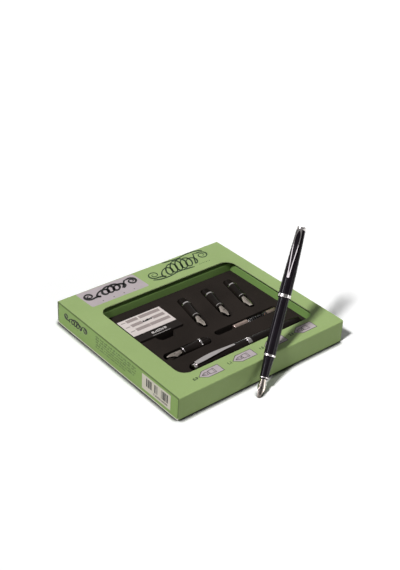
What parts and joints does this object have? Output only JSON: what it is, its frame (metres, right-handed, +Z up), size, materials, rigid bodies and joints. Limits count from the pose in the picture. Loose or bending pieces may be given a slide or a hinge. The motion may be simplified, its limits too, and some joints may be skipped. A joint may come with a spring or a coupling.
{
  "type": "calligraphy set box",
  "caption": "Windowed card sleeve with a slide-out foam tray that holds a capped pen, spare nib units, a converter and ink cartridges; a posted pen stands in front.",
  "frame": {"origin": "centre of the sleeve's underside, on the surface the box lies on", "axes": "+X to the right along the front panel, +Y from the front panel to the back panel, +Z up"},
  "size_m": [0.2052, 0.2102, 0.123],
  "materials": {
    "sleeve_card": "satin printed card",
    "tray_card": "satin printed card",
    "foam": "matte foam",
    "label_paper": "matte",
    "carton_card": "satin",
    "cartridge_plastic": "gloss",
    "black_lacquer": "gloss",
    "feed_plastic": "matte",
    "silver_trim": "polished",
    "nib_steel": "polished",
    "champagne_metal": "satin",
    "clear_plastic": "clear",
    "piston_rubber": "matte",
    "rod_steel": "polished"
  },
  "bodies": {
    "sleeve_shell": {"sleeve": "sleeve_card"},
    "tray": {"slide_tray": "tray_card", "inner_frame": "tray_card", "foam_insert": "foam", "barcode_label": "label_paper"},
    "cartridge_pack": {"cartridge_carton": "carton_card", "carton_label": "label_paper", "ink_cartridges": "cartridge_plastic"},
    "nib_unit_a": {"nib_a": "nib_steel", "feed_a": "feed_plastic", "section_a": "black_lacquer", "rings_a": "silver_trim"},
    "nib_unit_b": {"nib_b": "nib_steel", "feed_b": "feed_plastic", "section_b": "black_lacquer", "rings_b": "silver_trim"},
    "nib_unit_c": {"nib_c": "nib_steel", "feed_c": "feed_plastic", "section_c": "black_lacquer", "rings_c": "silver_trim"},
    "nib_unit_d": {"nib_d": "nib_steel", "feed_d": "feed_plastic", "section_d": "black_lacquer", "rings_d": "silver_trim"},
    "capped_pen": {"pen_cap": "black_lacquer", "pen_clip": "silver_trim", "pen_finial": "silver_trim", "pen_band": "silver_trim", "pen_barrel": "black_lacquer", "pen_section": "black_lacquer", "pen_rings": "silver_trim", "pen_feed": "feed_plastic", "pen_nib": "nib_steel"},
    "converter": {"converter_tube": "clear_plastic", "converter_mouth": "champagne_metal"},
    "converter_turning_knob": {"converter_knob": "champagne_metal"},
    "converter_plunger": {"converter_piston": "piston_rubber", "converter_rod": "rod_steel"},
    "standing_pen": {"stand_barrel": "black_lacquer"},
    "standing_nib_unit": {"stand_section": "black_lacquer", "stand_rings": "silver_trim", "stand_feed": "feed_plastic", "stand_nib": "nib_steel", "stand_cartridge": "cartridge_plastic"},
    "standing_cap": {"stand_cap": "black_lacquer", "stand_clip": "silver_trim", "stand_finial": "silver_trim", "stand_band": "silver_trim"}
  },
  "joints": [
    {"name": "tray_slide", "type": "slide", "parent": "sleeve_shell", "child": "tray", "axis": [-1, 0, 0], "range_m": [0, 0.19]},
    {"name": "cartridge_pack_lift", "type": "slide", "parent": "tray", "child": "cartridge_pack", "axis": [0, 0, 1], "range_m": [0, 0.035]},
    {"name": "nib_unit_a_lift", "type": "slide", "parent": "tray", "child": "nib_unit_a", "axis": [0, 0, 1], "range_m": [0, 0.035]},
    {"name": "nib_unit_b_lift", "type": "slide", "parent": "tray", "child": "nib_unit_b", "axis": [0, 0, 1], "range_m": [0, 0.035]},
    {"name": "nib_unit_c_lift", "type": "slide", "parent": "tray", "child": "nib_unit_c", "axis": [0, 0, 1], "range_m": [0, 0.035]},
    {"name": "nib_unit_d_lift", "type": "slide", "parent": "tray", "child": "nib_unit_d", "axis": [0, 0, 1], "range_m": [0, 0.035]},
    {"name": "capped_pen_lift", "type": "slide", "parent": "tray", "child": "capped_pen", "axis": [0, 0, 1], "range_m": [0, 0.035]},
    {"name": "converter_lift", "type": "slide", "parent": "tray", "child": "converter", "axis": [0, 0, 1], "range_m": [0, 0.035]},
    {"name": "converter_knob_turn", "type": "hinge", "parent": "converter", "child": "converter_turning_knob", "pos_m": [0.0244, -0.024, 0.0071], "axis": [1, 0, 0], "range_deg": [0, 1080]},
    {"name": "converter_piston_draw", "type": "slide", "parent": "converter", "child": "converter_plunger", "axis": [1, 0, 0], "range_m": [0, 0.015]},
    {"name": "standing_pen_lift", "type": "slide", "parent": "sleeve_shell", "child": "standing_pen", "axis": [0, 0, 1], "range_m": [0, 0.06]},
    {"name": "standing_nib_unit_turn", "type": "hinge", "parent": "standing_pen", "child": "standing_nib_unit", "pos_m": [-0.0225, -0.11268, -0.00074], "axis": [0.5736, 0.3446, 0.7431], "range_deg": [0, 1080]},
    {"name": "standing_cap_pull", "type": "slide", "parent": "standing_pen", "child": "standing_cap", "axis": [0.5736, 0.3446, 0.7431], "range_m": [0, 0.02]}
  ],
  "couplings": [
    {"joint": "converter_knob_turn", "follows": "converter_piston_draw", "rad_per_m": 1256.6}
  ]
}
